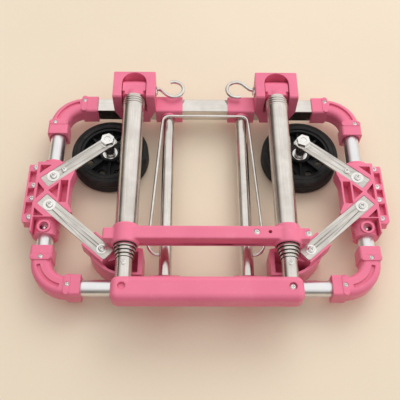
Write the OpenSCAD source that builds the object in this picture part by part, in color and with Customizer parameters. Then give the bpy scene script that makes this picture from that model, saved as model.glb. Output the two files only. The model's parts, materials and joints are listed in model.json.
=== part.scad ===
// Folded wheeled chassis of a pet stroller: a tube frame lying flat, a telescopic handle
// folded over it, two swing-down legs with wheels and feet, a wire bail and two hooks.
// Millimetres. +Z is up, +Y points to the rear bar, the floor is z = 0.

/* [Frame] */
// Distance between the centrelines of the two side tubes
frame_w = 400; // [380:1:430]
// Distance from the front tube's centreline to the rear bar's
frame_d = 269; // [262:1:280]
// Height of the tubes' centreline above the floor when folded
frame_z = 28.5; // [28:0.5:34]
// Outer diameter of the round frame tubes
tube_d = 20; // [18:0.5:20]
// Outer size of the square rear bar
bar_size = 21; // [19:0.5:21]
// Wall of the frame tubes
tube_wall = 1.2; // [1:0.1:2]
// Bend radius of the corner joints
bend_r = 34; // [30:1:36]
// Outer size of the corner joints' box section
corner_size = 27; // [26:0.5:29]
// Distance from the middle to each inner tube
inner_x = 50; // [46:1:54]
// Outer diameter of the inner tubes
inner_d = 16; // [14:0.5:16]

/* [Handle] */
// Distance from the middle to each telescopic tube
mast_x = 97; // [94:1:98]
// Height of the telescopic tubes above the frame's centreline
mast_z = 30; // [29:0.5:32]
// Outer diameter of the widest telescopic tube
mast_d = 28; // [27:0.5:28]
// Loss of diameter from one telescopic stage to the next
stage_step = 1.8; // [1.7:0.1:1.8]
// How far each stage shows beyond the one around it
stage_show = 4.3; // [2.5:0.1:4.4]
// Length of the grip
grip_len = 221; // [216:1:230]
// Depth of the grip, front to back
grip_depth = 31; // [28:1:34]
// Thickness of the grip
grip_thick = 28; // [26:1:29]

/* [Legs] */
// Wheel diameter
wheel_d = 104; // [98:1:105]
// Tyre width
wheel_w = 27; // [24:0.5:28]
// Distance from the side tube to the wheel's axle
axle_reach = 70.6; // [69:0.1:74]
// Distance from the front tube's centreline back to the axle
axle_back = 199; // [196:1:200]
// Width of the flat steel arms
arm_w = 17.5; // [16:0.5:18]
// Thickness of the flat steel arms
arm_t = 3; // [2.5:0.5:3]
// Height of the arms' lower face above the side tube's axis
arm_z = 17; // [17:0.5:18]

/* [Small parts] */
// Wire diameter of the bail
wire_d = 4; // [3.5:0.1:4]
// Wire diameter of the hooks
hook_d = 5.2; // [4:0.1:5.4]
// Inner bend radius of the hooks, to the wire's centre
hook_r = 13.4; // [12:0.1:14]
// Running clearance on radius between pins and their holes
run_gap = 0.05; // [0.03:0.01:0.08]

/* [Hidden] */
$fn = 48;

// Colours
pink = [0.93, 0.42, 0.56];
steel = [0.80, 0.79, 0.77];
satin = [0.86, 0.87, 0.88];
zinc = [0.84, 0.84, 0.80];
black = [0.06, 0.06, 0.07];

// Overall placing: the box around the folded part is centred on the origin
tube_r = tube_d / 2;
half_bar = bar_size / 2;
half_box = corner_size / 2;
wire_r = wire_d / 2;
hook_wire_r = hook_d / 2;
side_x = frame_w / 2;
hinge_back = 9;
hook_back = 20;
rear_reach = hook_back + hook_r + hook_wire_r;
front_reach = grip_depth;
front_y = -(frame_d + rear_reach - front_reach) / 2;
rear_y = front_y + frame_d;

// Frame
socket = 17;
tube_end_gap = 4;
clip_w = 37;
clip_wall = 2.6;
screw_rib_w = 8;
screw_rib_half = 9;
inner_r = inner_d / 2;

// Handle
hinge_y = rear_y + hinge_back;
hinge_z = 26;
hinge_pin_r = 4;
tongue_r = 15;
tongue_w = 31.4;
tongue_neck_r = 16.1;
housing_w = 57;
housing_low_w = 40;
housing_front = 12;
housing_rear = 33;
housing_top = 43.5;
slot_w = 33;
hook_z = 20;
mast_r = mast_d / 2;
mast_wall = 0.55;
beads = 4;
bead_pitch = 4;
bead_r = 0.9;
mast_rear = hinge_y - tongue_r;
mast_front = front_y + 42;
stage_rear = rear_y - 33;
stages = 6;
brace_len = 25;
brace_y = mast_front + brace_len / 2;
collar_r = 16.4;
brace_screws_x = [mast_x - 38, mast_x + 24];
lug_reach = 27;
grip_y = front_y - grip_depth / 2;
grip_edge = 9;
grip_socket = 24;
grip_screw_y = front_y - 14;
stage_screw_y = front_y + 17;

// Legs, in a local frame: origin on the side tube's axis, +X towards the middle
leg_y = front_y + 124;
axle_y = axle_back - 124;
arm_root = [-6, 12];
arm_front_root = [-6, -12];
foot_bolt = [74, -81.7];
rear_arm_angle = atan2(axle_y - arm_root.y, axle_reach - arm_root.x);
rear_arm_len = norm([axle_reach, axle_y] - arm_root);
front_arm_angle = atan2(foot_bolt.y - arm_front_root.y, foot_bolt.x - arm_front_root.x);
front_arm_len = norm(foot_bolt - arm_front_root);
bracket_top = 20.5;
bracket_r = 15.8;
flange_at = 14;
second_at = 30;
arm_hole_r = 2.45;
clamp_screw_x = -20.5;
clamp_screws_y = [-35, -8, 11, 38];
wheel_z = -15;
sole_x = axle_reach + wheel_d / 2;
floor_z = -frame_z;
button_y = -49;
button_r = 3;
button_flange_drop = 5.5;
spring_foot = -8.2;

// Wheel
axle_r = 5;
tyre_in_r = wheel_d / 2 - 12;
rim_wall = 4;
hub_r = 13.5;
hub_top = 9;
hub_low = -7;
bearing_r = 10;
bearing_t = 5;
spokes = 8;

// ---------- helpers ----------

module rod_x(r, x0, x1) translate([x0, 0, 0]) rotate([0, 90, 0]) cylinder(r = r, h = x1 - x0);
module rod_y(r, y0, y1) translate([0, y0, 0]) rotate([-90, 0, 0]) cylinder(r = r, h = y1 - y0);
module both_sides() {
  children();
  mirror([1, 0, 0]) children();
}
module box(x0, x1, y0, y1, z0, z1) translate([x0, y0, z0]) cube([x1 - x0, y1 - y0, z1 - z0]);

// Rectangle with round corners, built from squares and circles
module round_rect(w, h, r) {
  square([w - 2 * r, h], center = true);
  square([w, h - 2 * r], center = true);
  for (sx = [-1, 1], sy = [-1, 1]) translate([sx * (w / 2 - r), sy * (h / 2 - r)]) circle(r = r);
}

// Round tube along X or Y
module pipe_x(r, wall, x0, x1) difference() {
  rod_x(r, x0, x1);
  rod_x(r - wall, x0 - 1, x1 + 1);
}
module pipe_y(r, wall, y0, y1) difference() {
  rod_y(r, y0, y1);
  rod_y(r - wall, y0 - 1, y1 + 1);
}

// Cross-head screw standing on z = 0, its shank below
module screw(head_r, head_h, shank_r, shank_l) difference() {
  union() {
    cylinder(r = head_r, h = head_h * 0.6);
    translate([0, 0, head_h * 0.6 - 0.01]) cylinder(r1 = head_r, r2 = head_r * 0.72, h = head_h * 0.4);
    translate([0, 0, -shank_l]) cylinder(r = shank_r, h = shank_l + 0.1);
  }
  for (a = [0, 90]) rotate([0, 0, a])
    translate([0, 0, head_h]) cube([head_r * 1.1, head_r * 0.28, head_h], center = true);
}

// Screw with a wide thin flange under its head
module flange_screw(flange_r, head_r, shank_l) {
  cylinder(r = flange_r, h = 0.9);
  translate([0, 0, 0.8]) screw(head_r, 2.4, 2.4, shank_l + 0.8);
}

// ---------- frame ----------

bar_half_len = side_x - bend_r - tube_end_gap;

module rear_bar() color(steel) translate([0, rear_y, frame_z]) difference() {
  rotate([90, 0, 90]) linear_extrude(2 * bar_half_len, center = true) round_rect(bar_size, bar_size, 1.5);
  cube([2 * bar_half_len + 2, bar_size - 2 * tube_wall, bar_size - 2 * tube_wall], center = true);
}

module front_tube() color(satin) translate([0, front_y, frame_z])
  pipe_x(tube_r, tube_wall, -bar_half_len, bar_half_len);

module side_tubes() color(satin) both_sides() translate([-side_x, 0, frame_z]) difference() {
  pipe_y(tube_r, tube_wall, front_y + bend_r + tube_end_gap, rear_y - bend_r - tube_end_gap);
  translate([0, leg_y + button_y, 0]) cylinder(r = button_r + run_gap, h = tube_r + 1);
}

module inner_tubes() color(steel) both_sides() translate([-inner_x, 0, frame_z]) difference() {
  pipe_y(inner_r, 1, front_y + tube_r + 0.5, rear_y - half_bar - 0.5);
  translate([0, bail_y, 0]) rod_x(wire_r + run_gap, -inner_r - 1, 0);
}

// Box section following the bend, with a straight socket at each end
module corner_solid(size, r) {
  rotate_extrude(angle = 90, $fn = 96) translate([bend_r, 0]) round_rect(size - 2.4, size - 1.6, 2 * r);
  translate([bend_r, 0, 0]) rotate([90, 0, 0]) linear_extrude(socket) round_rect(size, size, r);
  translate([0, bend_r, 0]) rotate([90, 0, -90]) linear_extrude(socket) round_rect(size, size, r);
}

// Corner joint about its bend centre: one leg along -Y at x = bend_r, one along -X at y = bend_r.
// The -X leg takes the square bar where square_leg is true.
module corner_body(square_leg) difference() {
  union() {
    corner_solid(corner_size, 3.5);
    corner_rib_places(square_leg) translate([0, 0, 1 - half_box]) linear_extrude(corner_size - 0.4) {
      square([2 * screw_rib_half, screw_rib_w], center = true);
      for (s = [-1, 1]) translate([s * screw_rib_half, 0]) circle(r = screw_rib_w / 2);
    }
  }
  rotate([0, 0, 8]) rotate_extrude(angle = 74, $fn = 96) translate([bend_r, 0]) circle(r = tube_r - 3);
  translate([bend_r, 0, 0]) rod_y(tube_r + run_gap, -socket - 1, -tube_end_gap);
  translate([bend_r, 0, 0]) rod_y(tube_r + 1.6, -socket - 1, -socket + 3);
  translate([0, bend_r, 0]) if (square_leg)
    box(-socket - 1, -tube_end_gap, -half_bar, half_bar, -half_bar, half_bar);
  else rod_x(tube_r + run_gap, -socket - 1, -tube_end_gap);
  translate([0, 0, half_box - 3.6]) rotate([0, 0, 13]) rotate_extrude(angle = 64, $fn = 96)
    translate([bend_r, 0]) square([4.5, 4]);
  corner_screw_places(square_leg) {
    translate([0, 0, -half_box]) cylinder(r = 1.4, h = corner_size + 4);
    translate([0, 0, half_box - 1]) cylinder(r = 2.9, h = 4);
  }
}

// Each end of the bend has a raised rib across it with a screw in it: the screw's distance
// outward from the centreline, and how far it stands past the end of the bend
function corner_screw_at(square_leg) = square_leg ? [5, 1.5] : [0, -1.5];
module corner_rib_places(square_leg) {
  translate([bend_r, corner_screw_at(square_leg).y, 0]) children();
  translate([corner_screw_at(square_leg).y, bend_r, 0]) rotate([0, 0, 90]) children();
}
module corner_screw_places(square_leg) {
  at = corner_screw_at(square_leg);
  translate([bend_r + at.x, at.y, 0]) children();
  translate([at.y, bend_r + at.x, 0]) children();
}

module upper_half() intersection() {
  children();
  box(-200, 200, -200, 200, 0, 60);
}
module lower_half() intersection() {
  children();
  box(-200, 200, -200, 200, -60, 0);
}

// Puts a corner joint at the front or rear left of the frame
module at_corner(front) translate([0, 0, frame_z]) {
  if (front) translate([-side_x + bend_r, front_y + bend_r, 0])
    mirror([1, 0, 0]) mirror([0, 1, 0]) children();
  else translate([-side_x + bend_r, rear_y - bend_r, 0]) mirror([1, 0, 0]) children();
}

module corner_rear_left() color(pink) at_corner(false) upper_half() corner_body(true);
module corner_rear_right() color(pink) mirror([1, 0, 0]) at_corner(false) upper_half() corner_body(true);
module corner_front_left() color(pink) at_corner(true) upper_half() corner_body(false);
module corner_front_right() color(pink) mirror([1, 0, 0]) at_corner(true) upper_half() corner_body(false);

module corner_undershells() color(pink) both_sides() {
  at_corner(false) lower_half() corner_body(true);
  at_corner(true) lower_half() corner_body(false);
}

module corner_screws() color(steel) both_sides() for (front = [false, true]) at_corner(front)
  corner_screw_places(!front) translate([0, 0, half_box - 1]) screw(2.7, 2, 1.4, corner_size - 4);

// Clip round a frame tube with a socket for the inner tube facing the middle
module tee_clip(square_bar, size, neck) difference() {
  union() {
    rotate([90, 0, 90]) linear_extrude(clip_w, center = true) round_rect(size, size, 3);
    rod_y(inner_r + clip_wall, -neck, 0);
  }
  if (square_bar) cube([clip_w + 2, bar_size, bar_size], center = true);
  else rod_x(tube_r + run_gap, -clip_w, clip_w);
  rod_y(inner_r + run_gap, -neck - 1, 0);
}

module rear_tee_clips() color(pink) both_sides() 
  translate([-inner_x, rear_y, frame_z]) tee_clip(true, corner_size, half_box + 3);
module front_tee_clips() color(pink) both_sides()
  translate([-inner_x, front_y, frame_z]) rotate([0, 0, 180])
    tee_clip(false, corner_size - 2, half_box - 0.4);

// ---------- handle hinge ----------

// Outline of the housing seen from the side, Y to the right, Z up, about the rear bar
module housing_side() polygon([
  [-housing_front, 4], [-housing_front, housing_top - 2], [-housing_front + 2, housing_top],
  [housing_rear - 2, housing_top], [housing_rear, housing_top - 2], [housing_rear - 4, 12],
  [housing_rear - 14, -4], [-housing_front, -4]
]);

module housing_block() {
  intersection() {
    rotate([90, 0, 90]) linear_extrude(housing_w, center = true) housing_side();
    union() {
      box(-housing_w / 2, housing_w / 2, -50, 50, 11, 60);
      box(-housing_low_w / 2, housing_low_w / 2, -50, 50, -20, 12);
    }
  }
  box(-housing_low_w / 2, housing_low_w / 2, -housing_front, half_bar + 2.5, -half_bar - 2.5, 0);
  difference() {
    box(-housing_w / 2, housing_w / 2, -housing_front, half_bar + 2.5, -half_bar + 6, 12);
    for (s = [-1, 1]) translate([s * housing_w / 2, 0, -4]) rotate([0, s * 24, 0])
      cube([12, 60, 30], center = true);
  }
}

module housing_cuts() {
  // bar
  cube([housing_w + 10, bar_size, bar_size], center = true);
  // room for the tongue, open to the front
  translate([0, hinge_back, hinge_z]) rod_x(tongue_r + 0.4, -slot_w / 2, slot_w / 2);
  box(-slot_w / 2, slot_w / 2, -40, hinge_back, half_bar + 0.3, hinge_z + tongue_r + 0.4);
  translate([0, hinge_back, hinge_z])
    box(-slot_w / 2, slot_w / 2, 0, tongue_r + 0.4, 0, tongue_r + 0.4);
  // arch in the top face
  translate([0, hinge_back + mast_z - hinge_z, hinge_z]) cylinder(r = slot_w / 2, h = 40);
  box(-slot_w / 2, slot_w / 2, -40, hinge_back + mast_z - hinge_z, hinge_z, 60);
  // pin hole
  translate([0, hinge_back, hinge_z]) rod_x(hinge_pin_r, -40, 40);
}

module hinge_housing() difference() {
  housing_block();
  housing_cuts();
  translate([0, hook_back, hook_z]) rod_x(hook_wire_r + run_gap, housing_w / 2 - 10, housing_w / 2 + 1);
}
module hinge_housing_left() color(pink) translate([-mast_x, rear_y, frame_z]) hinge_housing();
module hinge_housing_right() color(pink) mirror([1, 0, 0])
  translate([-mast_x, rear_y, frame_z]) hinge_housing();

module hinge_pins() color(steel) both_sides() translate([-mast_x, hinge_y, frame_z + hinge_z]) {
  rod_x(hinge_pin_r, -housing_w / 2 - 1, housing_w / 2 + 1);
  for (s = [-1, 1]) translate([s * (housing_w / 2 + 0.8), 0, 0]) rod_x(hinge_pin_r + 1, -0.8, 0.8);
}

// Plastic tongue that turns on the pin and plugs into the mast tube
module hinge_tongues() color(pink) both_sides() translate([-mast_x, hinge_y, frame_z]) difference() {
  union() {
    translate([0, 0, hinge_z]) rod_x(tongue_r, -tongue_w / 2, tongue_w / 2);
    box(-tongue_w / 2, tongue_w / 2, -tongue_r * 0.6, 0, mast_z - mast_r + 1, hinge_z + tongue_r);
    intersection() {
      box(-tongue_w / 2, tongue_w / 2, -tongue_r, 0, mast_z - mast_r + 1, hinge_z + tongue_r);
      translate([0, 0, mast_z]) rod_y(tongue_neck_r, -tongue_r - 1, 1);
    }
    translate([0, 0, mast_z]) rod_y(mast_r - mast_wall - run_gap, -tongue_r - 20, -tongue_r / 2);
  }
  translate([0, 0, hinge_z]) rod_x(hinge_pin_r + run_gap, -20, 20);
}

// ---------- telescopic mast ----------

function stage_r(n) = mast_r - (n - 1) * stage_step / 2;
function stage_front(n) = mast_front - (n - 1) * stage_show;

module mast_pair(n, y_rear, y_front) both_sides() translate([-mast_x, 0, frame_z + mast_z])
  pipe_y(stage_r(n), mast_wall, y_front, y_rear);

module stage_pair(n) mast_pair(n, stage_rear, stage_front(n));

module mast_tubes() color(steel) {
  mast_pair(1, mast_rear, mast_front);
  both_sides() translate([-mast_x, 0, frame_z + mast_z]) for (i = [0 : beads - 1])
    translate([0, mast_rear - bead_pitch * (i + 1), 0]) rotate([90, 0, 0]) bead();
}

// Rolled bead standing out from the tube's wall, its inner edge buried in the wall
module bead() rotate_extrude($fn = 96) intersection() {
  translate([mast_r - 0.3, 0]) circle(r = bead_r, $fn = 16);
  translate([mast_r - mast_wall / 2, -bead_r]) square(2 * bead_r);
}

module stage_2_tubes() color(steel) stage_pair(2);
module stage_3_tubes() color(steel) stage_pair(3);
module stage_4_tubes() color(steel) stage_pair(4);
module stage_5_tubes() color(steel) stage_pair(5);
module stage_6_tubes() color(steel) both_sides() translate([-mast_x, 0, frame_z + mast_z]) difference() {
  pipe_y(stage_r(stages), 1, front_y - grip_socket, stage_rear);
  translate([0, stage_screw_y, 0]) cylinder(r = 1.6, h = 20);
  translate([0, grip_screw_y, -20]) cylinder(r = 1.8, h = 40);
}
module stage_screws() color(steel) both_sides()
  translate([-mast_x, stage_screw_y, frame_z + mast_z + stage_r(stages) + 0.02]) screw(3, 1.6, 1.55, 6);

// Brace: a flat bar between round collars that hold the two mast tubes
module brace_solid() difference() {
  union() {
    both_sides() translate([-mast_x, 0, 0]) rod_y(collar_r, -brace_len / 2, brace_len / 2);
    rotate([90, 0, 90]) linear_extrude(2 * mast_x, center = true)
      translate([-0.5, 5]) round_rect(17.5, 18, 3);
    both_sides() translate([-mast_x - lug_reach / 2, 0, 3]) rotate([90, 0, 90])
      linear_extrude(lug_reach, center = true) round_rect(15, 13, 3);
  }
  both_sides() translate([-mast_x, 0, 0]) rod_y(mast_r + run_gap, -brace_len, brace_len);
  for (x = brace_screws_x) translate([x, 0, -10]) cylinder(r = 1.8, h = 40);
  for (x = brace_screws_x) translate([x, 0, brace_recess(x)]) cylinder(r = 3.6, h = 20);
}
function brace_recess(x) = x > mast_x ? 8 : 12.4;

module at_brace() translate([0, brace_y, frame_z + mast_z]) children();
module brace_upper() color(pink) at_brace() difference() {
  upper_half() brace_solid();
  translate([mast_x - 22, 0, 5]) cylinder(r = 2.2, h = 20);
}
module brace_lower() color(pink) at_brace() lower_half() brace_solid();
module brace_screws() color(steel) at_brace() for (x = brace_screws_x)
  translate([x, 0, brace_recess(x)]) screw(3.4, 2, 1.75, 14);

// Grip: a long bar, round in section and in plan, in two shells
module grip_solid() difference() {
  intersection() {
    rotate([90, 0, 90]) linear_extrude(grip_len, center = true)
      round_rect(grip_depth, grip_thick, grip_edge);
    linear_extrude(60, center = true) round_rect(grip_len, grip_depth, grip_edge);
  }
  both_sides() translate([-mast_x, 0, 0]) rod_y(stage_r(stages) + run_gap,
    grip_depth / 2 - grip_socket - 0.5, grip_depth / 2 + 1);
  both_sides() translate([-mast_x, grip_screw_y - grip_y, 0]) {
    translate([0, 0, -20]) cylinder(r = 1.8, h = 40);
    translate([0, 0, grip_thick / 2 - 3.5]) cylinder(r = 4.6, h = 10);
    translate([0, 0, -grip_thick / 2 - 6.5]) cylinder(r = 4.6, h = 10);
  }
}
module at_grip() translate([0, grip_y, frame_z + mast_z]) children();
module grip_upper() color(pink) at_grip() upper_half() grip_solid();
module grip_lower() color(pink) at_grip() lower_half() grip_solid();
module grip_screws() color(steel) at_grip() for (s = [-1, 1])
  translate([s * mast_x, grip_screw_y - grip_y, 0]) rotate([s < 0 ? 180 : 0, 0, 0])
    translate([0, 0, grip_thick / 2 - 3.5]) screw(3.4, 2, 1.75, 20);

// ---------- legs ----------

module at_leg(right) mirror([right ? 1 : 0, 0, 0]) translate([-side_x, leg_y, frame_z]) children();

module along(root, angle) translate([root.x, root.y, 0]) rotate([0, 0, angle]) children();

// Plan of the bracket: the clamp strip outboard, the wing inboard
module bracket_plan() polygon([
  [-30, -39], [-27, -42], [-16, -42], [-16, -58], [14, -58], [14, -50], [33, -31],
  [27, -18], [27, 14], [31, 27], [31, 33], [16, 44], [14, 50], [-16, 50], [-18, 44], [-29, 44], [-30, 40]
]);

// Room for the arms, which lie in channels in the top face
module arm_channels() {
  along(arm_root, rear_arm_angle) box(-0.3, 80, -arm_w / 2 - 0.15, arm_w / 2 + 0.15, arm_z, 40);
  along(arm_front_root, front_arm_angle) box(-0.3, 80, -arm_w / 2 - 0.15, arm_w / 2 + 0.15, arm_z, 40);
}

// Arc slot that the frame's lock button runs in, through a quarter turn
module button_slot() translate([0, button_y, 0]) intersection() {
  rod_y(14, -4.2, 4.2);
  box(-15, 4.2, -5, 5, -4.2, 15);
}

module bracket_bores() {
  rod_y(tube_r + run_gap, -70, 70);
  button_slot();
  for (y = clamp_screws_y) translate([clamp_screw_x, y, -30]) cylinder(r = 1.9, h = 60);
}

module bracket_upper(right) color(pink) at_leg(right) difference() {
  linear_extrude(bracket_top) bracket_plan();
  bracket_bores();
  arm_channels();
  // triangular pockets between the ribs
  translate([0, 0, 11.5]) linear_extrude(20) {
    polygon([[-14, 12], [-14, -12], [-5, -1.5], [-5, 1.5]]);
    polygon([[0.5, 0], [12.5, 11], [12.5, -11]]);
    polygon([[-13.5, 25], [0.5, 38], [-13.5, 38]]);
    polygon([[-14, -25], [-14, -36.5], [-1.5, -36.5]]);
  }
  // lowered floor of the wing
  box(15, 24.5, -17, 15, 5, 40);
  // lowered ends with round shoulders
  intersection() {
    box(-60, 60, -60, -38, -1, 40);
    difference() {
      box(-14, 60, -60, -38, 0, 40);
      rod_y(bracket_r, -60, -38);
      translate([0, button_y, 0]) cylinder(r = 8.5, h = 17.5);
    }
  }
  difference() {
    box(-40, 60, 43, 60, 0, 40);
    rod_y(bracket_r, 40, 60);
  }
  // lock button hole
  translate([0, button_y, 0]) cylinder(r = 5.6, h = 40);
  // ladder windows in the clamp strip
  for (y = [-21.5, 1.5, 24.5]) box(-27.5, -17.5, y - strip_window(y), y + strip_window(y), 6, 40);
  box(-40, -17.2, -60, 60, 13, 40);
  // arm screws
  arm_screw_places() translate([0, 0, 9]) cylinder(r = arm_hole_r, h = 20);
}
function strip_window(y) = abs(y) < 5 ? 5.5 : 8;

// Where the arms are screwed to the bracket and the foot
module arm_screw_places() {
  along(arm_root, rear_arm_angle) translate([flange_at, 0, 0]) children();
  along(arm_root, rear_arm_angle) translate([second_at, 0, 0]) children();
  along(arm_front_root, front_arm_angle) translate([flange_at, 0, 0]) children();
}

module bracket_lower(right) color(pink) at_leg(right) difference() {
  union() {
    intersection() {
      rod_y(bracket_r, -58, 50);
      box(-40, 40, -60, 60, -40, 0);
    }
    box(-30, -14, -40, 42, -6, 0);
  }
  bracket_bores();
}

module bracket_screws(right) color(steel) at_leg(right) for (y = clamp_screws_y)
  translate([clamp_screw_x, y, 13]) screw(3.3, 2, 1.8, 18);

module arm(root, angle, length, tail, holes) along(root, angle) difference() {
  translate([0, 0, arm_z]) union() {
    box(0, length + tail - 3, -arm_w / 2, arm_w / 2, 0, arm_t);
    box(length, length + tail, -arm_w / 2 + 3, arm_w / 2 - 3, 0, arm_t);
    for (s = [-1, 1]) translate([length + tail - 3, s * (arm_w / 2 - 3), 0]) cylinder(r = 3, h = arm_t);
  }
  for (h = holes) translate([h.x, 0, 0]) cylinder(r = h.y, h = 40);
}

module rear_arm(right) color(zinc) at_leg(right)
  arm(arm_root, rear_arm_angle, rear_arm_len, 10,
    [[flange_at, arm_hole_r], [second_at, arm_hole_r], [rear_arm_len, axle_r + run_gap]]);
module front_arm(right) color(zinc) at_leg(right)
  arm(arm_front_root, front_arm_angle, front_arm_len, 12,
    [[flange_at, arm_hole_r], [front_arm_len, arm_hole_r]]);

module arm_screws(right) color(steel) at_leg(right) translate([0, 0, arm_z + arm_t]) {
  along(arm_root, rear_arm_angle) {
    translate([flange_at, 0, 0]) flange_screw(8, 4, 9);
    translate([second_at, 0, 0]) screw(3.6, 2.2, 2.4, 9);
  }
  along(arm_front_root, front_arm_angle) {
    translate([flange_at, 0, 0]) flange_screw(8, 4, 9);
    translate([front_arm_len, 0, 0]) flange_screw(6.5, 3.8, 11);
  }
}

// Hollow foot under the front arm, level with the wheel when the leg is down
module foot(right) color(pink) at_leg(right) difference() {
  union() {
    translate([0, 0, floor_z]) linear_extrude(10 - floor_z) polygon([
      [55, -77], [58, -84], [63, -91], [70, -98], [78, -104], [86, -108.5], [94, -110.5],
      [sole_x, -110.5], [sole_x, -76], [102, -72], [88, -66], [80, -64]
    ]);
    along(arm_front_root, front_arm_angle)
      box(front_arm_len - 23, front_arm_len + 12.5, -arm_w / 2 - 3, arm_w / 2 + 3, 0, bracket_top);
  }
  foot_arm_channel();
  translate([0, 0, floor_z + 4]) linear_extrude(60) {
    polygon([[90, -91], [90, -106], [82, -102.5], [76, -97.5], [80, -93.5]]);
    polygon([[93, -80], [93, -107], [117, -107], [117, -80]]);
  }
  along(arm_front_root, front_arm_angle) translate([front_arm_len, 0, 5])
    cylinder(r = arm_hole_r, h = 20);
  box(86.5, 130, -120, -60, 10, 40);
}
module foot_arm_channel() along(arm_front_root, front_arm_angle)
  box(-1, front_arm_len + 20, -arm_w / 2 - 0.15, arm_w / 2 + 0.15, arm_z, 40);

// Axle bolt with its head, spacer and nut
module axle(right) color(steel) at_leg(right) translate([axle_reach, axle_y, 0]) {
  translate([0, 0, arm_z + arm_t]) {
    cylinder(r = 10, h = 1.2);
    translate([0, 0, 1.1]) rotate([0, 0, 20]) difference() {
      cylinder(r = 9.2, h = 6, $fn = 6);
      translate([0, 0, 5.2]) cylinder(r = 4, h = 2);
    }
  }
  translate([0, 0, -26]) cylinder(r = axle_r, h = 26 + arm_z + arm_t + 1);
  translate([0, 0, wheel_z + hub_top + 0.5]) cylinder(r = 7, h = arm_z - wheel_z - hub_top - 0.5);
  translate([0, 0, -26.5]) cylinder(r = 8, h = 3.8, $fn = 6);
}

// ---------- wheels ----------

module at_wheel(right) at_leg(right) translate([axle_reach, axle_y, wheel_z]) children();

module tyre(right) color(black) at_wheel(right) rotate_extrude($fn = 128) {
  h = wheel_w / 2;
  translate([tyre_in_r, -h + 1]) square([wheel_d / 2 - tyre_in_r - 5, wheel_w - 2]);
  translate([tyre_in_r + 2, -h]) square([wheel_d / 2 - tyre_in_r - 7, wheel_w]);
  translate([wheel_d / 2 - 6, -h + 5]) square([6, wheel_w - 10]);
  for (s = [-1, 1]) translate([wheel_d / 2 - 5, s * (h - 5)]) circle(r = 5);
}

module rim(right) color(black) at_wheel(right) difference() {
  union() {
    rotate_extrude($fn = 128) {
      translate([tyre_in_r - rim_wall, -11]) square([rim_wall, 22]);
      translate([hub_r - 2, -3]) square([tyre_in_r - hub_r, 4]);
      translate([bearing_r + run_gap, hub_low]) square([hub_r - bearing_r - run_gap, hub_top - hub_low]);
      translate([axle_r + 1.5, hub_low + bearing_t])
        square([hub_r - axle_r - 3, hub_top - hub_low - 2 * bearing_t]);
    }
    for (i = [0 : spokes - 1]) rotate([0, 0, i * 360 / spokes])
      box(hub_r - 1, tyre_in_r - rim_wall + 1, -1.5, 1.5, -7, 7);
  }
  for (i = [0 : spokes - 1]) rotate([0, 0, (i + 0.5) * 360 / spokes])
    translate([(hub_r + tyre_in_r) / 2 + 2, 0, -10]) cylinder(r = 5, h = 20);
}

module bearings(right) color(steel) at_wheel(right) for (z = [hub_low, hub_top - bearing_t])
  translate([0, 0, z]) difference() {
    cylinder(r = bearing_r, h = bearing_t);
    translate([0, 0, -1]) cylinder(r = axle_r + run_gap, h = bearing_t + 2);
    for (s = [-1, bearing_t - 0.8]) translate([0, 0, s]) difference() {
      cylinder(r = bearing_r - 1.6, h = 1.8);
      cylinder(r = axle_r + 1.6, h = 1.8);
    }
  }

// ---------- lock buttons ----------

module at_button(right) at_leg(right) translate([0, button_y, 0]) children();

module lock_button(right) color(satin) at_button(right) {
  translate([0, 0, tube_r - 4.5]) cylinder(r = button_r, h = 4.5);
  translate([0, 0, tube_r]) intersection() {
    sphere(r = button_r);
    cylinder(r = button_r, h = button_r);
  }
  translate([0, 0, tube_r - button_flange_drop]) cylinder(r = button_r + 1.2, h = 1.2);
}

// Coil spring under the button, drawn as a corrugated sleeve
module button_spring(right) color(steel) at_button(right) rotate_extrude() {
  translate([1.9, spring_foot]) square([0.5, tube_r - button_flange_drop - spring_foot]);
  for (i = [0 : 6]) translate([2.3, spring_foot + 0.7 + 1.85 * i]) circle(r = 0.55, $fn = 16);
}

// ---------- bent wire ----------

wire_sides = 16;

function arc_points(c, r, a0, a1, n) =
  [for (i = [0 : n]) let (a = a0 + (a1 - a0) * i / n) c + r * [cos(a), sin(a)]];
function heading(pts, i) = pts[min(i + 1, len(pts) - 1)] - pts[max(i - 1, 0)];
function wire_ring(p, way, r) = [
  for (k = [0 : wire_sides - 1])
    let (a = 360 * k / wire_sides, n = way / norm(way))
    [p.x - n.y * r * cos(a), p.y + n.x * r * cos(a), r * sin(a)]
];
function ring_faces(i, k) =
  let (m = wire_sides, a = i * m + k, b = i * m + (k + 1) % m) [[a, b, b + m], [a, b + m, a + m]];

// Round wire along a flat path in the XY plane
module wire(pts, r) {
  rings = [for (i = [0 : len(pts) - 1]) each wire_ring(pts[i], heading(pts, i), r)];
  last = (len(pts) - 1) * wire_sides;
  polyhedron(rings, concat(
    [for (i = [0 : len(pts) - 2], k = [0 : wire_sides - 1]) each ring_faces(i, k)],
    [[for (k = [wire_sides - 1 : -1 : 0]) k]],
    [[for (k = [0 : wire_sides - 1]) last + k]]
  ));
}

// ---------- bail ----------

bail_y = front_y + 44;
bail_rear = rear_y - 19;
bail_low_x = 72;
bail_top_x = 58;
bail_low_r = 14;
bail_top_r = 9;
bail_lift = inner_r + wire_r + 0.4;
bail_len = bail_rear - bail_y;
bail_tilt = atan(bail_lift / bail_len);
bail_lean = atan((bail_low_x - bail_top_x) / (bail_len - bail_low_r));
bail_pin_x = inner_x + inner_r - 3;

// Left half of the wire's centreline, with the pivot axis along y = 0
bail_top_cx = -bail_low_x + bail_low_r + (bail_top_r - bail_low_r) * cos(bail_lean)
  + (bail_len - bail_top_r - bail_low_r) * tan(bail_lean);
bail_half = concat(
  [[-bail_pin_x, 0]],
  arc_points([-bail_low_x + bail_low_r, bail_low_r], bail_low_r, 270, 180 - bail_lean, 8),
  arc_points([bail_top_cx, bail_len - bail_top_r], bail_top_r, 180 - bail_lean, 90, 6)
);
bail_other_half = [for (i = [len(bail_half) - 1 : -1 : 0]) [-bail_half[i].x, bail_half[i].y]];

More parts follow.
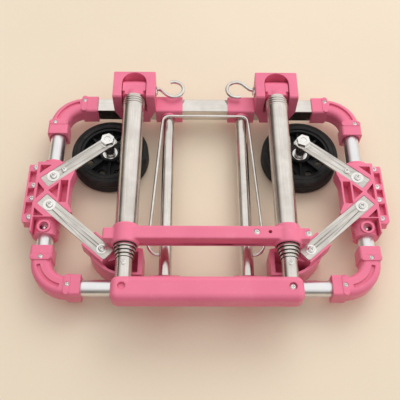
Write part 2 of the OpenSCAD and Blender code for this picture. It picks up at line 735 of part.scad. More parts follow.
module bail() color(steel) translate([0, bail_y, frame_z]) rotate([bail_tilt, 0, 0])
  wire(concat(bail_half, bail_other_half), wire_r);

// ---------- hooks ----------

hook_gap = 22;
hook_entry_r = 6;
hook_entry_x = hook_gap - sqrt(2) * (hook_r + hook_entry_r) + hook_entry_r;
hook_path = concat(
  [[-9, 0]],
  arc_points([hook_entry_x, -hook_entry_r], hook_entry_r, 90, 45, 4),
  arc_points([hook_gap, 0], hook_r, -135, 112, 20)
);

module at_hook()
  translate([-mast_x + housing_w / 2 + hook_wire_r, rear_y + hook_back, frame_z + hook_z]) children();
module hook_left() color(steel) at_hook() wire(hook_path, hook_wire_r);
module hook_right() color(steel) mirror([1, 0, 0]) at_hook() rotate([180, 0, 0])
  wire(hook_path, hook_wire_r);

// ---------- left and right ----------

module bracket_upper_left() bracket_upper(false);
module bracket_upper_right() bracket_upper(true);
module bracket_lower_left() bracket_lower(false);
module bracket_lower_right() bracket_lower(true);
module bracket_screws_left() bracket_screws(false);
module bracket_screws_right() bracket_screws(true);
module rear_arm_left() rear_arm(false);
module rear_arm_right() rear_arm(true);
module front_arm_left() front_arm(false);
module front_arm_right() front_arm(true);
module arm_screws_left() arm_screws(false);
module arm_screws_right() arm_screws(true);
module foot_left() foot(false);
module foot_right() foot(true);
module axle_left() axle(false);
module axle_right() axle(true);
module tyre_left() tyre(false);
module tyre_right() tyre(true);
module rim_left() rim(false);
module rim_right() rim(true);
module bearings_left() bearings(false);
module bearings_right() bearings(true);
module lock_button_left() lock_button(false);
module lock_button_right() lock_button(true);
module button_spring_left() button_spring(false);
module button_spring_right() button_spring(true);

rear_bar();
front_tube();
side_tubes();
inner_tubes();
corner_rear_left();
corner_rear_right();
corner_front_left();
corner_front_right();
corner_undershells();
corner_screws();
rear_tee_clips();
front_tee_clips();
hinge_housing_left();
hinge_housing_right();
hinge_pins();
hinge_tongues();
mast_tubes();
brace_upper();
brace_lower();
brace_screws();
stage_2_tubes();
stage_3_tubes();
stage_4_tubes();
stage_5_tubes();
stage_6_tubes();
stage_screws();
grip_upper();
grip_lower();
grip_screws();
bracket_upper_left();
bracket_lower_left();
bracket_screws_left();
rear_arm_left();
front_arm_left();
arm_screws_left();
foot_left();
axle_left();
bracket_upper_right();
bracket_lower_right();
bracket_screws_right();
rear_arm_right();
front_arm_right();
arm_screws_right();
foot_right();
axle_right();
tyre_left();
rim_left();
bearings_left();
tyre_right();
rim_right();
bearings_right();
lock_button_left();
lock_button_right();
button_spring_left();
button_spring_right();
bail();
hook_left();
hook_right();
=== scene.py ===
import json
import math

import bpy
from mathutils import Matrix, Vector


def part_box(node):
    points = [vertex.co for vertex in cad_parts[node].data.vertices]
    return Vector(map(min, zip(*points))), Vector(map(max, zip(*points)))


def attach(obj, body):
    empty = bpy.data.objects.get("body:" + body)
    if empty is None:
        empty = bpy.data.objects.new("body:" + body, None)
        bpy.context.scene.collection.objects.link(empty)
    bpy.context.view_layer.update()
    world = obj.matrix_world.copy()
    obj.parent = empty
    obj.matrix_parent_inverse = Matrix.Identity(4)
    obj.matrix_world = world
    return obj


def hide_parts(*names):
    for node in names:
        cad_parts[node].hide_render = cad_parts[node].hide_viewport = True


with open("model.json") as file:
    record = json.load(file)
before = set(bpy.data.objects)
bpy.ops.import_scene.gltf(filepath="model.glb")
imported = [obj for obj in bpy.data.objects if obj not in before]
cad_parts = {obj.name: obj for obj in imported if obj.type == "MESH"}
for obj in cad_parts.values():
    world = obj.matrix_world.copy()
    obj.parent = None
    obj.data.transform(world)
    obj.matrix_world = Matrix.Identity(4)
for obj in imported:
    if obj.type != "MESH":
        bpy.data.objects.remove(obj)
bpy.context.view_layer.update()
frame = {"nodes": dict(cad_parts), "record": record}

MM = 0.001
SIDES = {"left": -1, "right": 1}
record_bodies = frame["record"]["behaviour"]["bodies"]
body_of = {node: body for body, nodes in record_bodies.items() for node in nodes}


# ---------- working by hand, in code ----------

def pick(obj):
    """Only this object is selected and active"""
    bpy.ops.object.select_all(action="DESELECT")
    obj.select_set(True)
    bpy.context.view_layer.objects.active = obj


def edit_all(obj):
    """Edit mode with the whole mesh selected"""
    pick(obj)
    bpy.ops.object.mode_set(mode="EDIT")
    bpy.ops.mesh.select_all(action="SELECT")


def leave_edit():
    bpy.ops.object.mode_set(mode="OBJECT")


def apply_modifier(obj, kind, **settings):
    """Adds a modifier with these settings and applies it"""
    pick(obj)
    modifier = obj.modifiers.new(kind.lower(), kind)
    for key, value in settings.items():
        setattr(modifier, key, value)
    bpy.ops.object.modifier_apply(modifier=modifier.name)


def settle(obj):
    """Puts the object's place, turn and size into its mesh"""
    pick(obj)
    bpy.ops.object.transform_apply(location=True, rotation=True, scale=True)


def smooth(obj, degrees=35):
    pick(obj)
    bpy.ops.object.shade_smooth_by_angle(angle=math.radians(degrees))


def ease_edges(obj, width_mm, degrees=32):
    """Rounds every edge that is sharper than the angle"""
    apply_modifier(obj, "BEVEL", width=width_mm * MM, segments=2, limit_method="ANGLE",
                   angle_limit=math.radians(degrees), use_clamp_overlap=False,
                   miter_outer="MITER_ARC")


def copy_of(node, name):
    """A new piece with a node's shape, its separate triangles joined up"""
    piece = bpy.data.objects.new(name, frame["nodes"][node].data.copy())
    bpy.context.scene.collection.objects.link(piece)
    edit_all(piece)
    bpy.ops.mesh.customdata_custom_splitnormals_clear()
    bpy.ops.mesh.remove_doubles(threshold=0.004 * MM)
    leave_edit()
    return piece


def flatten_shading(obj):
    """Wide faces keep their own shading beside narrow rounded edges"""
    apply_modifier(obj, "WEIGHTED_NORMAL", mode="FACE_AREA_WITH_ANGLE", weight=50, keep_sharp=True)


def join(pieces, name):
    """Makes the pieces one object with this name"""
    pick(pieces[0])
    for piece in pieces[1:]:
        piece.select_set(True)
    bpy.ops.object.join()
    pieces[0].name = name
    return pieces[0]


def block(name, low, high):
    """A box between two corners, in metres"""
    bpy.ops.object.select_all(action="DESELECT")
    low, high = Vector(low), Vector(high)
    bpy.ops.mesh.primitive_cube_add(size=1.0, location=(low + high) / 2)
    piece = bpy.context.object
    piece.name = name
    piece.scale = high - low
    settle(piece)
    return piece


def rod(name, radius, start, end, sides=64):
    """A solid rod between two points, in metres"""
    bpy.ops.object.select_all(action="DESELECT")
    start, end = Vector(start), Vector(end)
    bpy.ops.mesh.primitive_cylinder_add(vertices=sides, radius=radius, depth=(end - start).length,
                                        location=(start + end) / 2)
    piece = bpy.context.object
    piece.name = name
    piece.rotation_euler = (end - start).to_track_quat("Z", "Y").to_euler()
    settle(piece)
    return piece


def cut(piece, tool):
    """Takes the tool's shape out of the piece"""
    apply_modifier(piece, "BOOLEAN", operation="DIFFERENCE", solver="EXACT", object=tool)
    bpy.data.objects.remove(tool)


def keep_half(piece, height, upper):
    """Cuts the piece level at a height and keeps one closed half"""
    edit_all(piece)
    bpy.ops.mesh.bisect(plane_co=(0, 0, height), plane_no=(0, 0, 1), use_fill=True,
                        clear_inner=upper, clear_outer=not upper)
    leave_edit()


def turn_profile(name, stations, centre, axis, sides=96):
    """A ring or tube turned from a closed loop of (along, radius) stations, in metres.
    It starts as a circle that is extruded and resized from station to station."""
    bpy.ops.object.select_all(action="DESELECT")
    along, radius = stations[0]
    turn = {"X": (0, math.pi / 2, 0), "Y": (math.pi / 2, 0, 0), "Z": (0, 0, 0)}[axis]
    step = Vector([float(axis == letter) for letter in "XYZ"])
    bpy.ops.mesh.primitive_circle_add(vertices=sides, radius=radius, rotation=turn,
                                      location=Vector(centre) + step * along)
    piece = bpy.context.object
    piece.name = name
    settle(piece)
    edit_all(piece)
    for next_along, next_radius in stations[1:] + stations[:1]:
        move = step * (next_along - along)
        bpy.ops.mesh.extrude_region_move(TRANSFORM_OT_translate={"value": move})
        factor = next_radius / radius
        size = [1 if axis == letter else factor for letter in "XYZ"]
        middle = Vector(centre) + step * next_along
        bpy.ops.transform.resize(value=size, center_override=middle)
        along, radius = next_along, next_radius
    bpy.ops.mesh.select_all(action="SELECT")
    bpy.ops.mesh.remove_doubles(threshold=0.002 * MM)
    bpy.ops.mesh.normals_make_consistent(inside=False)
    leave_edit()
    return piece


def hand_over(piece, finish, material, *nodes):
    """Gives a piece its material, its body and the nodes that it stands for"""
    piece.data.materials.clear()
    piece.data.materials.append(material)
    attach(piece, body_of[nodes[0]])
    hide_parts(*nodes)


# ---------- shared effects ----------

def new_group(name, inputs, outputs):
    """A shader group with (name, value) float inputs and named float outputs"""
    group = bpy.data.node_groups.new(name, "ShaderNodeTree")
    kind = "NodeSocketFloat"
    for label, value in inputs:
        socket = group.interface.new_socket(name=label, in_out="INPUT", socket_type=kind)
        socket.default_value = value
    for label in outputs:
        group.interface.new_socket(name=label, in_out="OUTPUT", socket_type=kind)
    nodes = group.nodes
    return group, nodes, group.links, nodes.new("NodeGroupInput"), nodes.new("NodeGroupOutput")


def math_node(nodes, links, operation, first, second, clamp=False):
    """The operation on two values, each a number or another node's output"""
    node = nodes.new("ShaderNodeMath")
    node.operation = operation
    node.use_clamp = clamp
    for socket, value in zip(node.inputs, (first, second)):
        if isinstance(value, (int, float)):
            socket.default_value = value
        else:
            links.new(value, socket)
    return node.outputs[0]


def ramp(nodes, links, value, low, high):
    """0 below low, 1 above high"""
    node = nodes.new("ShaderNodeMapRange")
    node.inputs["From Min"].default_value = low
    node.inputs["From Max"].default_value = high
    links.new(value, node.inputs["Value"])
    return node.outputs["Result"]


def build_tone_drift():
    """Slow drift of tone over a surface"""
    group, nodes, links, given, out = new_group(
        "tone drift", [("Scale", 20.0)], ["Mask"])
    place = nodes.new("ShaderNodeTexCoord")
    broad = nodes.new("ShaderNodeTexNoise")
    broad.inputs["Detail"].default_value = 4.0
    links.new(place.outputs["Object"], broad.inputs["Vector"])
    links.new(given.outputs["Scale"], broad.inputs["Scale"])
    links.new(ramp(nodes, links, broad.outputs["Fac"], 0.32, 0.68), out.inputs["Mask"])
    return group


def build_skin():
    """Fine moulded or cast skin"""
    group, nodes, links, given, out = new_group(
        "moulded skin", [("Scale", 1500.0), ("Waviness", 60.0)], ["Height"])
    place = nodes.new("ShaderNodeTexCoord")
    fine = nodes.new("ShaderNodeTexNoise")
    fine.inputs["Detail"].default_value = 2.0
    links.new(place.outputs["Object"], fine.inputs["Vector"])
    links.new(given.outputs["Scale"], fine.inputs["Scale"])
    slow = nodes.new("ShaderNodeTexNoise")
    slow.inputs["Detail"].default_value = 1.0
    links.new(place.outputs["Object"], slow.inputs["Vector"])
    links.new(given.outputs["Waviness"], slow.inputs["Scale"])
    part = math_node(nodes, links, "MULTIPLY", fine.outputs["Fac"], 0.25)
    links.new(math_node(nodes, links, "ADD", part, slow.outputs["Fac"]), out.inputs["Height"])
    return group


def build_drawn_lines():
    """Lines left by drawing, rolling or brushing, along Y or turned away from it"""
    group, nodes, links, given, out = new_group(
        "drawn lines", [("Turn", 0.0), ("Across", 1400.0), ("Along", 18.0)], ["Mask"])
    place = nodes.new("ShaderNodeTexCoord")
    turned = nodes.new("ShaderNodeVectorRotate")
    turned.rotation_type = "Z_AXIS"
    links.new(place.outputs["Object"], turned.inputs["Vector"])
    links.new(given.outputs["Turn"], turned.inputs["Angle"])
    scales = nodes.new("ShaderNodeCombineXYZ")
    links.new(given.outputs["Across"], scales.inputs["X"])
    links.new(given.outputs["Along"], scales.inputs["Y"])
    links.new(given.outputs["Across"], scales.inputs["Z"])
    stretched = nodes.new("ShaderNodeVectorMath")
    stretched.operation = "MULTIPLY"
    links.new(turned.outputs["Vector"], stretched.inputs[0])
    links.new(scales.outputs["Vector"], stretched.inputs[1])
    lines = nodes.new("ShaderNodeTexNoise")
    lines.inputs["Scale"].default_value = 1.0
    lines.inputs["Detail"].default_value = 3.0
    links.new(stretched.outputs["Vector"], lines.inputs["Vector"])
    links.new(ramp(nodes, links, lines.outputs["Fac"], 0.3, 0.7), out.inputs["Mask"])
    return group


def build_handling_marks():
    """Sparse short marks from handling"""
    group, nodes, links, given, out = new_group(
        "handling marks", [("Scale", 55.0), ("Rarity", 0.64)], ["Mask"])
    place = nodes.new("ShaderNodeTexCoord")
    patches = nodes.new("ShaderNodeTexNoise")
    patches.inputs["Detail"].default_value = 6.0
    patches.inputs["Distortion"].default_value = 1.4
    links.new(place.outputs["Object"], patches.inputs["Vector"])
    links.new(given.outputs["Scale"], patches.inputs["Scale"])
    over = math_node(nodes, links, "SUBTRACT", patches.outputs["Fac"], given.outputs["Rarity"])
    links.new(math_node(nodes, links, "MULTIPLY", over, 9.0, clamp=True), out.inputs["Mask"])
    return group


def build_edge_wear():
    """1 along outer edges, broken up, and 0 on flat faces"""
    group, nodes, links, given, out = new_group(
        "edge wear", [("Width", 0.0008)], ["Mask"])
    inner = nodes.new("ShaderNodeAmbientOcclusion")
    inner.inside = True
    inner.only_local = True
    inner.samples = 6
    links.new(given.outputs["Width"], inner.inputs["Distance"])
    place = nodes.new("ShaderNodeTexCoord")
    broken = nodes.new("ShaderNodeTexNoise")
    broken.inputs["Scale"].default_value = 240.0
    broken.inputs["Detail"].default_value = 4.0
    links.new(place.outputs["Object"], broken.inputs["Vector"])
    thin = math_node(nodes, links, "SUBTRACT", 1.0, inner.outputs["AO"])
    edge = ramp(nodes, links, thin, 0.25, 0.8)
    gaps = ramp(nodes, links, broken.outputs["Fac"], 0.35, 0.6)
    links.new(math_node(nodes, links, "MULTIPLY", edge, gaps), out.inputs["Mask"])
    return group


def build_painted_corner_shade():
    """Painted shade: 1 deep in corners and recesses, where shade falls, 0 in the open"""
    group, nodes, links, given, out = new_group(
        "painted corner shade", [("Reach", 0.002)], ["Mask"])
    open_sky = nodes.new("ShaderNodeAmbientOcclusion")
    open_sky.only_local = True
    open_sky.samples = 6
    links.new(given.outputs["Reach"], open_sky.inputs["Distance"])
    closed = math_node(nodes, links, "SUBTRACT", 1.0, open_sky.outputs["AO"])
    links.new(ramp(nodes, links, closed, 0.25, 0.95), out.inputs["Mask"])
    return group


TONE = build_tone_drift()
SKIN = build_skin()
LINES = build_drawn_lines()
MARKS = build_handling_marks()
WEAR = build_edge_wear()
PAINTED_CORNER_SHADE = build_painted_corner_shade()


# ---------- materials ----------

class Finish:
    """A material under construction around one Principled shader"""

    def __init__(self, name, metallic=0.0):
        self.material = bpy.data.materials.new(name)
        self.material.use_nodes = True
        self.nodes = self.material.node_tree.nodes
        self.links = self.material.node_tree.links
        self.shader = self.nodes["Principled BSDF"]
        self.shader.inputs["Metallic"].default_value = metallic

    def effect(self, group, output, **values):
        node = self.nodes.new("ShaderNodeGroup")
        node.node_tree = group
        for label, value in values.items():
            node.inputs[label].default_value = value
        return node.outputs[output]

    def blend(self, mask, first, second, strength=1.0):
        """Colour from first to second by the mask"""
        node = self.nodes.new("ShaderNodeMix")
        node.data_type = "RGBA"
        factor = math_node(self.nodes, self.links, "MULTIPLY", mask, strength)
        self.links.new(factor, node.inputs["Factor"])
        for socket, value in ((node.inputs["A"], first), (node.inputs["B"], second)):
            if isinstance(value, tuple):
                socket.default_value = (*value, 1.0)
            else:
                self.links.new(value, socket)
        return node.outputs["Result"]

    def between(self, mask, low, high):
        """Value from low to high by the mask"""
        node = self.nodes.new("ShaderNodeMapRange")
        node.inputs["To Min"].default_value = low
        node.inputs["To Max"].default_value = high
        self.links.new(mask, node.inputs["Value"])
        return node.outputs["Result"]

    def colour(self, socket):
        self.links.new(socket, self.shader.inputs["Base Color"])

    def roughness(self, socket):
        self.links.new(socket, self.shader.inputs["Roughness"])

    def bump(self, height, depth_mm, strength):
        node = self.nodes.new("ShaderNodeBump")
        node.inputs["Distance"].default_value = depth_mm * MM
        node.inputs["Strength"].default_value = strength
        self.links.new(height, node.inputs["Height"])
        self.links.new(node.outputs["Normal"], self.shader.inputs["Normal"])


def darker(colour, part):
    return tuple(part * channel for channel in colour)


def moulded_plastic(name, light, dark, worn, rough_low, rough_high, shine=0.5):
    """Satin moulded plastic: slow tone drift, painted shade in corners and recesses, pale edges,
    handling marks, fine skin
    """
    finish = Finish(name)
    finish.shader.inputs["Specular IOR Level"].default_value = shine
    tone = finish.effect(TONE, "Mask", Scale=16.0)
    marks = finish.effect(MARKS, "Mask", Scale=70.0, Rarity=0.62)
    base = finish.blend(tone, dark, light)
    base = finish.blend(marks, base, worn, 0.16)
    # painted shade: the colour darkens in corners and recesses, where shade falls
    corners = finish.effect(PAINTED_CORNER_SHADE, "Mask", Reach=4 * MM)
    base = finish.blend(corners, base, darker(dark, 0.45), 0.55)
    edges = finish.effect(WEAR, "Mask", Width=0.7 * MM)
    finish.colour(finish.blend(edges, base, worn, 0.3))
    soft = finish.between(finish.effect(TONE, "Mask", Scale=90.0), rough_low, rough_high)
    rubbed = math_node(finish.nodes, finish.links, "MULTIPLY", marks, 0.12)
    finish.roughness(math_node(finish.nodes, finish.links, "ADD", soft, rubbed, clamp=True))
    finish.bump(finish.effect(SKIN, "Height", Scale=1700.0, Waviness=55.0), 0.06, 0.5)
    return finish.material


def bright_metal(name, light, dark, rough_low, rough_high, turn=0.0, across=1400.0, along=16.0,
                 line_depth=0.012, grain=0.22, painted_shade=0.6):
    """Metal with drawn or brushed lines, smudges, painted shade in corners and recesses, and bright
    worn edges
    """
    finish = Finish(name, metallic=1.0)
    lines = finish.effect(LINES, "Mask", Turn=turn, Across=across, Along=along)
    smudge = finish.effect(TONE, "Mask", Scale=38.0)
    base = finish.blend(smudge, dark, light)
    base = finish.blend(lines, base, darker(dark, 0.7), grain)
    # painted shade: the colour goes almost black in corners and recesses, where shade falls
    corners = finish.effect(PAINTED_CORNER_SHADE, "Mask", Reach=2.5 * MM)
    base = finish.blend(corners, base, darker(dark, 0.12), painted_shade)
    edges = finish.effect(WEAR, "Mask", Width=0.5 * MM)
    finish.colour(finish.blend(edges, base, light, 0.35))
    both = math_node(finish.nodes, finish.links, "ADD", lines, smudge)
    mixed = math_node(finish.nodes, finish.links, "MULTIPLY", both, 0.5)
    finish.roughness(finish.between(mixed, rough_low, rough_high))
    finish.bump(lines, line_depth, 0.6)
    return finish.material


def wheel_rubber():
    """Black tyre rubber with dust in its skin"""
    finish = Finish("tyre rubber")
    finish.shader.inputs["Specular IOR Level"].default_value = 0.2
    dust = finish.effect(TONE, "Mask", Scale=55.0)
    base = finish.blend(dust, (0.010, 0.010, 0.011), (0.030, 0.029, 0.028))
    marks = finish.effect(MARKS, "Mask", Scale=120.0, Rarity=0.58)
    finish.colour(finish.blend(marks, base, (0.07, 0.066, 0.06), 0.4))
    finish.roughness(finish.between(dust, 0.46, 0.64))
    finish.bump(finish.effect(SKIN, "Height", Scale=2100.0, Waviness=180.0), 0.08, 0.6)
    return finish.material


def floor_finish():
    """Pale warm floor"""
    finish = Finish("pale floor")
    broad = finish.effect(TONE, "Mask", Scale=2.2)
    finish.colour(finish.blend(broad, (0.79, 0.675, 0.53), (0.84, 0.725, 0.575)))
    finish.roughness(finish.between(finish.effect(TONE, "Mask", Scale=9.0), 0.48, 0.56))
    finish.bump(finish.effect(SKIN, "Height", Scale=420.0, Waviness=12.0), 0.05, 0.25)
    return finish.material


CROSSWISE = math.pi / 2
PINK = moulded_plastic("pink plastic", (0.86, 0.20, 0.33), (0.80, 0.17, 0.295),
                       (0.95, 0.42, 0.53), 0.28, 0.42)
BLACK = moulded_plastic("black plastic", (0.014, 0.014, 0.015), (0.007, 0.007, 0.008),
                        (0.06, 0.06, 0.06), 0.30, 0.44, shine=0.25)
RUBBER = wheel_rubber()
STEEL = bright_metal("polished steel", (0.82, 0.78, 0.74), (0.66, 0.62, 0.58), 0.10, 0.26,
                     grain=0.34)
BAR_STEEL = bright_metal("polished bar", (0.82, 0.79, 0.75), (0.68, 0.64, 0.60), 0.08, 0.20,
                         turn=CROSSWISE)
ALUMINIUM = bright_metal("satin aluminium", (0.90, 0.90, 0.92), (0.80, 0.80, 0.82), 0.28, 0.38,
                         along=22.0)
RAIL = bright_metal("satin rail", (0.90, 0.90, 0.92), (0.80, 0.80, 0.82), 0.26, 0.36,
                    turn=CROSSWISE)
# plated screws, with strong painted shade (near-black colour) round their heads and in their cross
# recesses
SCREW = bright_metal("plated screws", (0.96, 0.95, 0.93), (0.78, 0.77, 0.75), 0.16, 0.30,
                     across=500.0, along=500.0, painted_shade=0.85)
WIRE = bright_metal("bright wire", (0.86, 0.85, 0.82), (0.68, 0.66, 0.63), 0.10, 0.22,
                    across=700.0, along=60.0)


def brushed_strap(name, turn):
    """Zinc-plated strap, brushed along its length"""
    return bright_metal(name, (0.84, 0.81, 0.77), (0.62, 0.59, 0.55), 0.32, 0.48, turn=turn,
                        across=620.0, along=22.0, line_depth=0.04, grain=0.5)


# ---------- camera, floor and light ----------

def level_turn(angle):
    return Matrix(((math.cos(angle), math.sin(angle), 0),
                   (-math.sin(angle), math.cos(angle), 0), (0, 0, 1)))


def place_camera():
    """Above the front edge, looking steeply down"""
    data = bpy.data.cameras.new("camera")
    data.sensor_width = 36.0
    data.lens = 55.8
    pitch, roll, yaw = 1.04926, 0.0293, -0.02835      # radians, pitch from level
    level = Matrix(((1, 0, 0), (0, math.sin(pitch), math.cos(pitch)),
                    (0, math.cos(pitch), -math.sin(pitch))))
    right, up, ahead = level_turn(roll) @ level @ level_turn(yaw)
    turn = Matrix((right, up, -Vector(ahead))).transposed()
    camera = bpy.data.objects.new("camera", data)
    camera.matrix_world = Matrix.Translation((-0.01872, -0.41456, 0.72456)) @ turn.to_4x4()
    bpy.context.scene.collection.objects.link(camera)
    bpy.context.scene.camera = camera


def lay_floor():
    """So wide that its edge is never in view"""
    bpy.ops.object.select_all(action="DESELECT")
    bpy.ops.mesh.primitive_plane_add(size=60.0, location=(0, 0, 0))
    floor = bpy.context.object
    floor.name = "floor"
    floor.data.materials.append(floor_finish())


def hang_window(place, size, power):
    """A soft panel aimed at the origin, which metal doesn't mirror"""
    data = bpy.data.lights.new("window", "AREA")
    data.shape = "RECTANGLE"
    data.size = data.size_y = size
    data.energy = power
    data.color = (1.0, 0.98, 0.95)
    panel = bpy.data.objects.new("window", data)
    panel.location = place
    panel.rotation_euler = (-Vector(place)).to_track_quat("-Z", "Y").to_euler()
    panel.visible_glossy = False
    bpy.context.scene.collection.objects.link(panel)


def light_room():
    """A white ceiling, brightest behind and to the right, that fades to a dim room in front,
    on the left and near the horizon. The camera itself sees a plain pale backdrop."""
    world = bpy.data.worlds.new("room")
    world.use_nodes = True
    nodes, links = world.node_tree.nodes, world.node_tree.links
    background = nodes["Background"]
    background.inputs["Strength"].default_value = 1.06
    where = nodes.new("ShaderNodeTexCoord")
    lean = nodes.new("ShaderNodeVectorMath")
    lean.operation = "DOT_PRODUCT"
    lean.inputs[1].default_value = (0.40, 0.30, 1.0)
    links.new(where.outputs["Generated"], lean.inputs[0])
    patches = nodes.new("ShaderNodeTexNoise")
    patches.inputs["Scale"].default_value = 3.2
    patches.inputs["Detail"].default_value = 3.0
    links.new(where.outputs["Generated"], patches.inputs["Vector"])
    uneven = math_node(nodes, links, "MULTIPLY", patches.outputs["Fac"], 0.34)
    height = math_node(nodes, links, "ADD", lean.outputs["Value"], uneven)
    shade = nodes.new("ShaderNodeValToRGB")
    shade.color_ramp.elements[0].position = 0.05
    shade.color_ramp.elements[0].color = (0.085, 0.075, 0.065, 1)
    shade.color_ramp.elements[1].position = 0.95
    shade.color_ramp.elements[1].color = (1.0, 0.985, 0.96, 1)
    for position, colour in ((0.36, (0.17, 0.15, 0.13, 1)), (0.68, (0.80, 0.775, 0.74, 1))):
        shade.color_ramp.elements.new(position).color = colour
    links.new(height, shade.inputs["Fac"])
    ray = nodes.new("ShaderNodeLightPath")
    backdrop = nodes.new("ShaderNodeMix")
    backdrop.data_type = "RGBA"
    backdrop.inputs["B"].default_value = (0.80, 0.73, 0.64, 1)
    links.new(ray.outputs["Is Camera Ray"], backdrop.inputs["Factor"])
    links.new(shade.outputs["Color"], backdrop.inputs["A"])
    links.new(backdrop.outputs["Result"], background.inputs["Color"])
    bpy.context.scene.world = world
    hang_window((0.55, 1.25, 1.5), 1.3, 13)
    bpy.context.scene.view_settings.view_transform = "Standard"


# ---------- pieces that keep their shape, with eased edges ----------

def ease_node(node, width_mm, finish, material):
    """The node's own shape with rounded edges, or with its edges kept if the width is 0"""
    piece = copy_of(node, node + "_finished")
    if width_mm:
        ease_edges(piece, width_mm)
    smooth(piece)
    flatten_shading(piece)
    hand_over(piece, finish, material, node)


EASED = [
    ("rear_bar", 0, "polished_steel", BAR_STEEL),
    ("front_tube", 0.3, "satin_aluminium", RAIL),
    ("side_tubes", 0.3, "satin_aluminium", ALUMINIUM),
    ("inner_tubes", 0.3, "polished_steel", STEEL),
    ("corner_rear_left", 0.5, "pink_plastic", PINK),
    ("corner_rear_right", 0.5, "pink_plastic", PINK),
    ("corner_front_left", 0.5, "pink_plastic", PINK),
    ("corner_front_right", 0.5, "pink_plastic", PINK),
    ("corner_undershells", 0.4, "pink_plastic", PINK),
    ("corner_screws", 0.15, "screw_steel", SCREW),
    ("rear_tee_clips", 0.8, "pink_plastic", PINK),
    ("front_tee_clips", 0.8, "pink_plastic", PINK),
    ("hinge_housing_left", 0.8, "pink_plastic", PINK),
    ("hinge_housing_right", 0.8, "pink_plastic", PINK),
    ("hinge_pins", 0.4, "screw_steel", SCREW),
    ("hinge_tongues", 0.6, "pink_plastic", PINK),
    ("brace_screws", 0.2, "screw_steel", SCREW),
    ("stage_screws", 0.2, "screw_steel", SCREW),
    ("grip_screws", 0.2, "screw_steel", SCREW),
]
for node, width_mm, finish, material in EASED:
    ease_node(node, width_mm, finish, material)


# ---------- telescopic tubes, turned ----------

mast_low, mast_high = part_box("mast_tubes")
stage_low, stage_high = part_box("stage_2_tubes")
STAGES = 6
STAGE_STEP = 0.9 * MM     # how much smaller each stage's radius is
WALL = 0.55 * MM
stage_2_radius = (stage_high.z - stage_low.z) / 2
mast_radius = stage_2_radius + STAGE_STEP
mast_x = stage_high.x - stage_2_radius
mast_z = (stage_high.z + stage_low.z) / 2
BEADS = 4
BEAD_PITCH = 3.6 * MM
BEAD_RISE = 1.0 * MM
BEAD_STEPS = 8
BEAD_VALLEY = -0.28       # depth between beads, as part of their rise
LIP_RISE = 0.35 * MM
LIP_LENGTH = 1.5 * MM
BUSH_LENGTH = 4 * MM
BUSH_PROUD = 0.3 * MM


def stage_radius(stage):
    return mast_radius - (stage - 1) * STAGE_STEP


def turn_pair(name, stations):
    """The same turned shape on the left and the right mast, as one piece"""
    pair = [turn_profile(name, stations, (sign * mast_x, 0, mast_z), "Y") for sign in (-1, 1)]
    return join(pair, name)


def turn_tube(name, radius, front, rear, beads=0):
    """A tube with a rolled mouth, and rolled beads near its rear end"""
    stations = [(front + 0.5 * MM, radius - WALL),
                (front + 0.12 * MM, radius - WALL + 0.08 * MM),
                (front, radius - WALL / 2),
                (front + 0.1 * MM, radius + 0.5 * LIP_RISE),
                (front + 0.5 * MM, radius + LIP_RISE),
                (front + 1.0 * MM, radius + 0.8 * LIP_RISE),
                (front + LIP_LENGTH, radius)]
    first = rear - 2.4 * MM - beads * BEAD_PITCH
    stations.append((first, radius))
    for bead in range(beads):
        for part in range(1, BEAD_STEPS + 1):
            rise = math.sin(math.pi * part / BEAD_STEPS) if part < BEAD_STEPS else BEAD_VALLEY
            stations.append((first + (bead + part / BEAD_STEPS) * BEAD_PITCH,
                             radius + BEAD_RISE * rise))
    stations += [(rear - 1.2 * MM, radius), (rear, radius - WALL / 3), (rear, radius - WALL)]
    tube = turn_pair(name, stations)
    smooth(tube, 50)
    return tube


def turn_mouth_ring(stage, front):
    """Dark plastic bush in a tube's mouth, between it and the next tube"""
    outer, inner = stage_radius(stage) - 0.12 * MM, stage_radius(stage + 1) + 0.02 * MM
    face, shoulder, back = front - BUSH_PROUD, front - 0.02 * MM, front + BUSH_LENGTH
    stations = [(back, inner), (face, inner), (face, outer - 0.3 * MM),
                (face + 0.3 * MM, outer), (shoulder, outer),
                (shoulder, outer - 0.4 * MM), (back, outer - 0.4 * MM)]
    ring = turn_pair(f"mouth_ring_{stage}", stations)
    smooth(ring)
    ring.data.materials.append(BLACK)
    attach(ring, "handle" if stage == 1 else f"stage_{stage}")


mast = turn_tube("mast_tubes_turned", mast_radius, mast_low.y, mast_high.y, BEADS)
hand_over(mast, "polished_steel", STEEL, "mast_tubes")
for stage in range(2, STAGES):
    low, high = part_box(f"stage_{stage}_tubes")
    tube = turn_tube(f"stage_{stage}_tubes_turned", stage_radius(stage), low.y, high.y)
    hand_over(tube, "polished_steel", STEEL, f"stage_{stage}_tubes")
    turn_mouth_ring(stage, low.y)
turn_mouth_ring(1, mast_low.y)
ease_node("stage_6_tubes", 0.18, "polished_steel", STEEL)


# ---------- grip ----------

GRIP_END = 9 * MM         # radius of the grip's corners, seen from above
GRIP_ROUND = 8.4 * MM     # radius of its long edges
SOCKET_DEPTH = 24.5 * MM  # how far the last stage goes into it
SCREW_WELL = 4.6 * MM     # radius of the wells round the screws


def bevel_edges(piece, radius, segments, wanted):
    """Rounds the edges that the test picks, by their two ends"""
    pick(piece)
    bpy.ops.object.mode_set(mode="EDIT")
    bpy.ops.mesh.select_mode(type="EDGE")
    bpy.ops.mesh.select_all(action="DESELECT")
    leave_edit()
    for edge in piece.data.edges:
        edge.select = wanted(*[piece.data.vertices[i].co for i in edge.vertices])
    bpy.ops.object.mode_set(mode="EDIT")
    bpy.ops.mesh.bevel(offset=radius, segments=segments, affect="EDGES")
    leave_edit()


